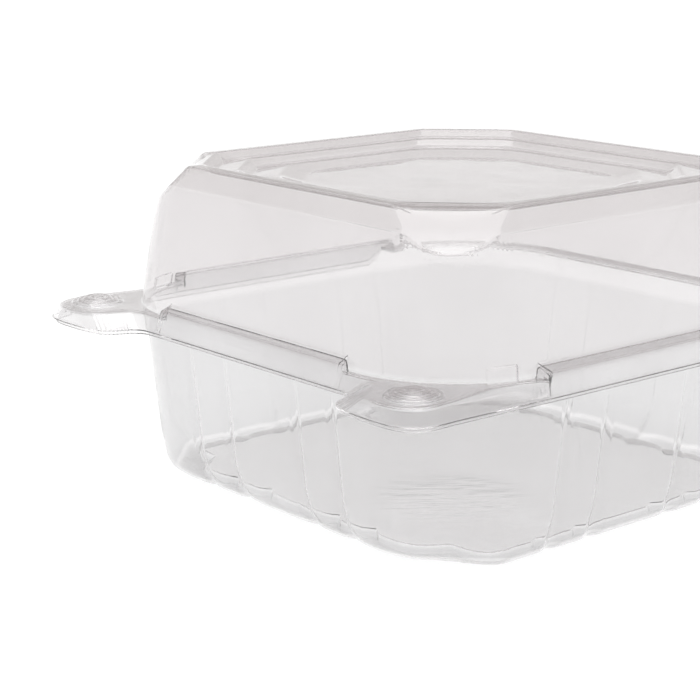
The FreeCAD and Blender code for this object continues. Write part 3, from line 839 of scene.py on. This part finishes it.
# --------------------------------------------------------------------- materials
def clear_sheet(name, tint_and_shade_bands, rough, ripple=False):
    """Clear formed PET: thin, glossy, faintly grey, with slow waves from forming."""
    mat = bpy.data.materials.new(name)
    mat.use_nodes = True
    nt = mat.node_tree
    nodes, links = nt.nodes, nt.links
    for n in list(nodes):
        nodes.remove(n)
    out = nodes.new("ShaderNodeOutputMaterial")
    p = nodes.new("ShaderNodeBsdfPrincipled")
    p.inputs["IOR"].default_value = 1.44
    p.inputs["Transmission Weight"].default_value = 1.0
    p.inputs["Metallic"].default_value = 0.0
    links.new(p.outputs["BSDF"], out.inputs["Surface"])
    co = nodes.new("ShaderNodeTexCoord")
    # thickness runs from forming: slow changes of the tint
    slow = nodes.new("ShaderNodeTexNoise")
    slow.inputs["Scale"].default_value = 22.0
    slow.inputs["Detail"].default_value = 2.0
    links.new(co.outputs["Object"], slow.inputs["Vector"])
    # the sheet's own faint grey, changed with the height as painted light and shade: the tray's floor panel is
    # painted clearer to lift the shade it lies in, the rims are painted lighter and the lid's top band darker
    split = nodes.new("ShaderNodeSeparateXYZ")
    links.new(co.outputs["Object"], split.inputs["Vector"])
    high = nodes.new("ShaderNodeMapRange")
    high.inputs["From Min"].default_value = 0.0
    high.inputs["From Max"].default_value = 0.08
    links.new(split.outputs["Z"], high.inputs["Value"])
    height_shade_ramp = nodes.new("ShaderNodeValToRGB")
    el = height_shade_ramp.color_ramp.elements
    el.remove(el[1])
    el[0].position = tint_and_shade_bands[0][0] / 80.0
    for z, c in tint_and_shade_bands[1:]:
        el.new(z / 80.0)
    for i, (z, c) in enumerate(tint_and_shade_bands):
        el[i].color = (*c, 1)
    links.new(high.outputs["Result"], height_shade_ramp.inputs["Fac"])
    mix = nodes.new("ShaderNodeMix")
    mix.data_type = "RGBA"
    mix.blend_type = "MULTIPLY"
    mix.inputs[7].default_value = (0.968, 0.966, 0.966, 1)
    links.new(height_shade_ramp.outputs["Color"], mix.inputs[6])
    ramp = nodes.new("ShaderNodeMapRange")
    ramp.inputs["From Min"].default_value = 0.35
    ramp.inputs["From Max"].default_value = 0.7
    links.new(slow.outputs["Fac"], ramp.inputs["Value"])
    links.new(ramp.outputs["Result"], mix.inputs["Factor"])
    links.new(mix.outputs[2], p.inputs["Base Color"])
    # faint scuffs in the gloss
    fine = nodes.new("ShaderNodeTexNoise")
    fine.inputs["Scale"].default_value = 260.0
    fine.inputs["Detail"].default_value = 4.0
    links.new(co.outputs["Object"], fine.inputs["Vector"])
    rr = nodes.new("ShaderNodeMapRange")
    rr.inputs["From Min"].default_value = 0.4
    rr.inputs["From Max"].default_value = 0.75
    rr.inputs["To Min"].default_value = rough
    rr.inputs["To Max"].default_value = rough + 0.05
    links.new(fine.outputs["Fac"], rr.inputs["Value"])
    links.new(rr.outputs["Result"], p.inputs["Roughness"])
    # slow waves in the surface
    wave = nodes.new("ShaderNodeTexNoise")
    wave.inputs["Scale"].default_value = 55.0
    wave.inputs["Detail"].default_value = 1.5
    links.new(co.outputs["Object"], wave.inputs["Vector"])
    bump = nodes.new("ShaderNodeBump")
    bump.inputs["Strength"].default_value = 0.14
    bump.inputs["Distance"].default_value = 0.0006
    links.new(wave.outputs["Fac"], bump.inputs["Height"])
    if ripple:
        # a few fine ripples in the floor, near the front corner
        turn = nodes.new("ShaderNodeMapping")
        turn.vector_type = "TEXTURE"
        turn.inputs["Rotation"].default_value = (0, 0, math.radians(49.8))
        turn.inputs["Scale"].default_value = (1 / 110, 1 / 340, 1)
        links.new(co.outputs["Object"], turn.inputs["Vector"])
        rp = nodes.new("ShaderNodeTexNoise")
        rp.inputs["Scale"].default_value = 1.0
        rp.inputs["Detail"].default_value = 1.0
        links.new(turn.outputs["Vector"], rp.inputs["Vector"])
        far = nodes.new("ShaderNodeVectorMath")
        far.operation = "DISTANCE"
        far.inputs[1].default_value = (0.0205, -0.0175, 0.002)
        links.new(co.outputs["Object"], far.inputs[0])
        fade = nodes.new("ShaderNodeMapRange")
        fade.interpolation_type = "SMOOTHSTEP"
        fade.inputs["From Min"].default_value = 0.008
        fade.inputs["From Max"].default_value = 0.023
        fade.inputs["To Min"].default_value = 1.0
        fade.inputs["To Max"].default_value = 0.0
        links.new(far.outputs["Value"], fade.inputs["Value"])
        both = nodes.new("ShaderNodeMath")
        both.operation = "MULTIPLY"
        links.new(rp.outputs["Fac"], both.inputs[0])
        links.new(fade.outputs["Result"], both.inputs[1])
        b2 = nodes.new("ShaderNodeBump")
        b2.inputs["Strength"].default_value = 0.45
        b2.inputs["Distance"].default_value = 0.0005
        links.new(both.outputs[0], b2.inputs["Height"])
        links.new(b2.outputs["Normal"], bump.inputs["Normal"])
    links.new(bump.outputs["Normal"], p.inputs["Normal"])
    return mat


# lid bands by height: rim painted lighter, walls grey, top band painted darker
lid_mat = clear_sheet("clear_lid_pet", ((43.6, (0.925, 0.922, 0.924)), (44.6, (0.846, 0.832, 0.835)),
                                        (72.0, (0.846, 0.832, 0.835)), (74.5, (0.790, 0.772, 0.772))), 0.02)
# tray bands by height: foot and walls grey, floor panel painted clearer against its shade, rim painted lighter
tray_mat = clear_sheet("clear_tray_pet", ((1.1, (0.835, 0.833, 0.836)), (1.5, (0.985, 0.980, 0.982)),
                                          (2.1, (0.985, 0.980, 0.982)), (2.5, (0.835, 0.833, 0.836)),
                                          (37.0, (0.835, 0.833, 0.836)), (38.6, (0.925, 0.922, 0.924))),
                       0.02, ripple=True)

tray = tray_sheet().thick("tray_shell", SKIN)
lid = lid_sheet().thick("lid_shell", SKIN)
fold = fold_strip()
tray.data.materials.append(tray_mat)
lid.data.materials.append(lid_mat)
fold.data.materials.append(tray_mat)

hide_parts("base_tray")
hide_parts("lid")
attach(tray, "base")
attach(lid, "lid")
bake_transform(fold)

# ------------------------------------------------------------------ floor, light
floor_me = bpy.data.meshes.new("floor")
R, K = 4.0, 64
fv = [(0, 0, 0)] + [(R * math.cos(2 * math.pi * i / K), R * math.sin(2 * math.pi * i / K), 0) for i in range(K)]
floor_me.from_pydata([(x, y, -0.0002) for x, y, _ in fv], [], [(0, i + 1, (i + 1) % K + 1) for i in range(K)])
floor = bpy.data.objects.new("floor", floor_me)
bpy.context.scene.collection.objects.link(floor)
fm = bpy.data.materials.new("pale_floor")
fm.use_nodes = True
fp = fm.node_tree.nodes["Principled BSDF"]
fp.inputs["Base Color"].default_value = (0.13, 0.13, 0.13, 1)
fp.inputs["Roughness"].default_value = 0.6
fp.inputs["Emission Color"].default_value = (1, 1, 1, 1)
fp.inputs["Emission Strength"].default_value = 0.93
floor_me.materials.append(fm)

world = bpy.data.worlds.new("studio")
bpy.context.scene.world = world
world.use_nodes = True
wn, wl = world.node_tree.nodes, world.node_tree.links
for n in list(wn):
    wn.remove(n)
wout = wn.new("ShaderNodeOutputWorld")
bg = wn.new("ShaderNodeBackground")
tc = wn.new("ShaderNodeTexCoord")
sep = wn.new("ShaderNodeSeparateXYZ")
wl.new(tc.outputs["Generated"], sep.inputs["Vector"])


def wmap(src, a, b, lo=0.0, hi=1.0):
    m = wn.new("ShaderNodeMapRange")
    m.interpolation_type = "SMOOTHSTEP"
    m.inputs["From Min"].default_value = a
    m.inputs["From Max"].default_value = b
    m.inputs["To Min"].default_value = lo
    m.inputs["To Max"].default_value = hi
    wl.new(src, m.inputs["Value"])
    return m.outputs["Result"]


def wmath(op, a, b):
    m = wn.new("ShaderNodeMath")
    m.operation = op
    for i, s in enumerate((a, b)):
        if isinstance(s, (int, float)):
            m.inputs[i].default_value = s
        else:
            wl.new(s, m.inputs[i])
    return m.outputs[0]


# behind the table the white cove ends a little above the horizon and the unlit
# room begins; the ceiling is lit again
away = wn.new("ShaderNodeVectorMath")
away.operation = "DOT_PRODUCT"
wl.new(tc.outputs["Generated"], away.inputs[0])
away.inputs[1].default_value = (-0.70, 0.71, 0.0)
up = wmap(sep.outputs["Z"], 0.09, 0.21)
down = wmap(sep.outputs["Z"], 0.62, 0.9, 1.0, 0.0)
back = wmap(away.outputs["Value"], -0.35, 0.35, 0.0, 1.0)
near = wmath("MULTIPLY", wmap(away.outputs["Value"], -0.6, 0.25, 0.42, 0.0), down)
dark = wmath("ADD", wmath("MULTIPLY", wmath("MULTIPLY", up, down), back), near)
cmix = wn.new("ShaderNodeMix")
cmix.data_type = "RGBA"
cmix.inputs[6].default_value = (1.06, 1.06, 1.06, 1)
cmix.inputs[7].default_value = (0.66, 0.638, 0.633, 1)
wl.new(dark, cmix.inputs["Factor"])
wl.new(cmix.outputs[2], bg.inputs["Color"])
white = wn.new("ShaderNodeBackground")
white.inputs["Color"].default_value = (1.06, 1.06, 1.06, 1)
lp = wn.new("ShaderNodeLightPath")
ms = wn.new("ShaderNodeMixShader")
wl.new(lp.outputs["Is Camera Ray"], ms.inputs["Fac"])
wl.new(bg.outputs["Background"], ms.inputs[1])
wl.new(white.outputs["Background"], ms.inputs[2])
wl.new(ms.outputs["Shader"], wout.inputs["Surface"])


def softbox(name, loc, aim, size, power):
    la = bpy.data.lights.new(name, "AREA")
    la.shape = "RECTANGLE"
    la.size, la.size_y = size
    la.energy = power
    ob = bpy.data.objects.new(name, la)
    ob.location = loc
    ob.rotation_euler = (Vector(aim) - Vector(loc)).to_track_quat("-Z", "Y").to_euler()
    bpy.context.scene.collection.objects.link(ob)
    return ob


softbox("softbox_top", (-0.1, 0.1, 1.3), (0, 0, 0.04), (1.1, 1.1), 5.5)

cam_data = bpy.data.cameras.new("camera")
cam = bpy.data.objects.new("camera", cam_data)
bpy.context.scene.collection.objects.link(cam)
cam.location = (0.3387, -0.31705, 0.14575)
cam.rotation_euler = (math.pi / 2 - 0.241, 0, 0.870)
cam_data.sensor_width = 36.0
cam_data.lens = 1921.5 * 36.0 / 700.0
cam_data.clip_start = 0.01
bpy.context.scene.camera = cam

sc = bpy.context.scene
sc.view_settings.view_transform = "Standard"
sc.cycles.max_bounces = 128
sc.cycles.transmission_bounces = 64
sc.cycles.glossy_bounces = 96
sc.cycles.transparent_max_bounces = 32
